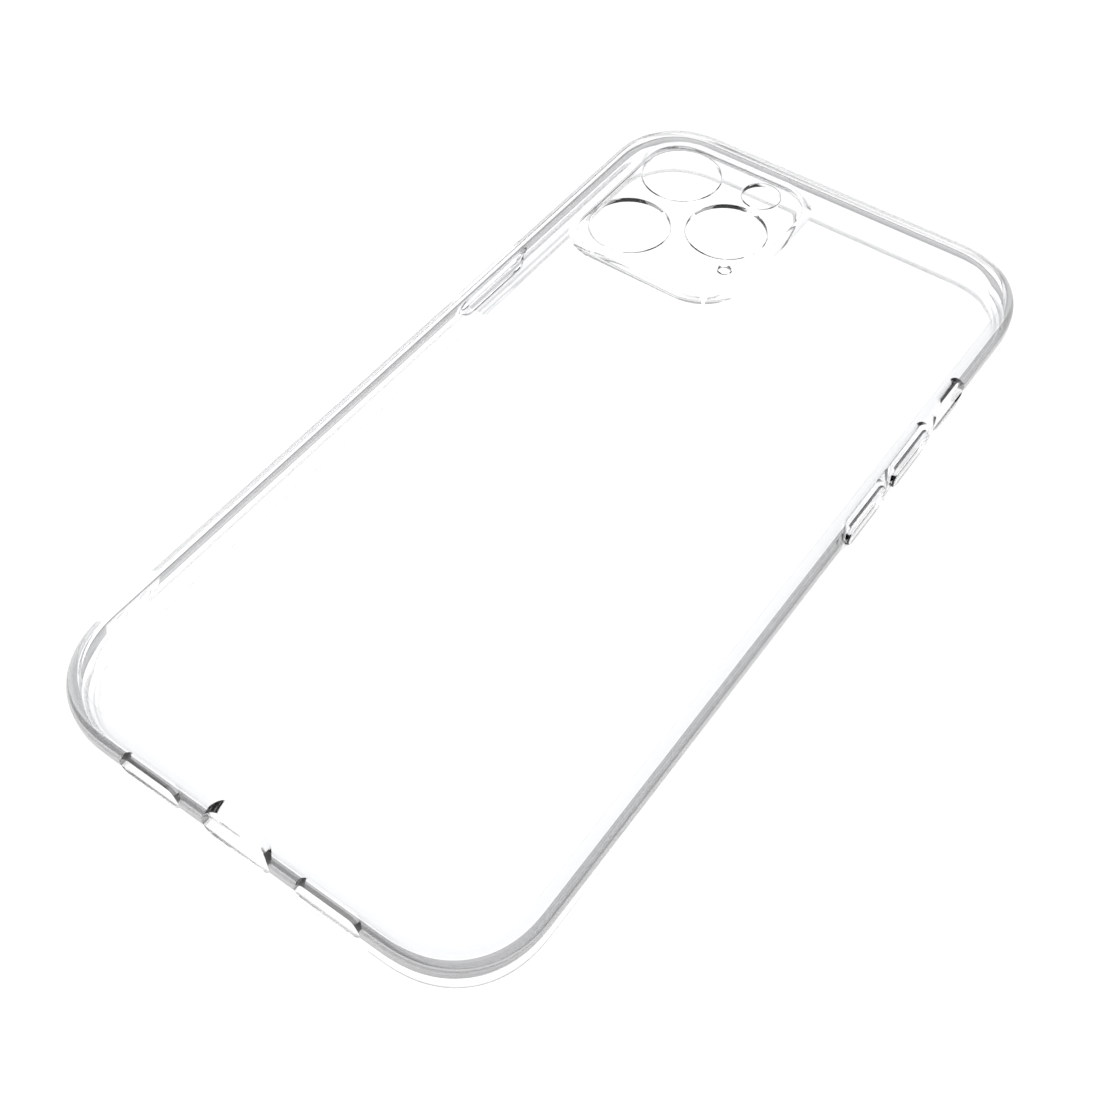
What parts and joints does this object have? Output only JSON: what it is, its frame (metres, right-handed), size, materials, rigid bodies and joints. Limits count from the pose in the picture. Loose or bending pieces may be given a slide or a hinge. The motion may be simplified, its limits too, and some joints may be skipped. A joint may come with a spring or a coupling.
{
  "type": "phone case",
  "caption": "Clear protective phone case with a hard back panel, soft bumper frame, raised camera guard, sprung button covers, port openings and a lanyard anchor.",
  "frame": {"origin": "centre of the rim, on the plane that the open side of the case rests on", "axes": "+Z from the open side to the back panel, +Y to the camera end, -Y to the charging port, +X to the side with the volume covers"},
  "size_m": [0.081, 0.1612, 0.0113],
  "materials": {
    "hard_clear_plastic": "water-clear polished polycarbonate",
    "soft_clear_plastic": "water-clear glossy flexible polyurethane",
    "button_clear_plastic": "clear glossy plastic"
  },
  "bodies": {
    "case": {"back_panel": "hard_clear_plastic", "bumper_frame": "soft_clear_plastic", "camera_guard": "hard_clear_plastic"},
    "power_cover": {"power_button_cover": "button_clear_plastic"},
    "volume_up": {"volume_up_cover": "button_clear_plastic"},
    "volume_down": {"volume_down_cover": "button_clear_plastic"}
  },
  "joints": [
    {"name": "power_press", "type": "slide", "parent": "case", "child": "power_cover", "axis": [1, 0, 0], "range_m": [0, 0.0003], "stiffness_N_per_m": 1000},
    {"name": "volume_up_press", "type": "slide", "parent": "case", "child": "volume_up", "axis": [-1, 0, 0], "range_m": [0, 0.0003], "stiffness_N_per_m": 1000},
    {"name": "volume_down_press", "type": "slide", "parent": "case", "child": "volume_down", "axis": [-1, 0, 0], "range_m": [0, 0.0003], "stiffness_N_per_m": 1000}
  ]
}
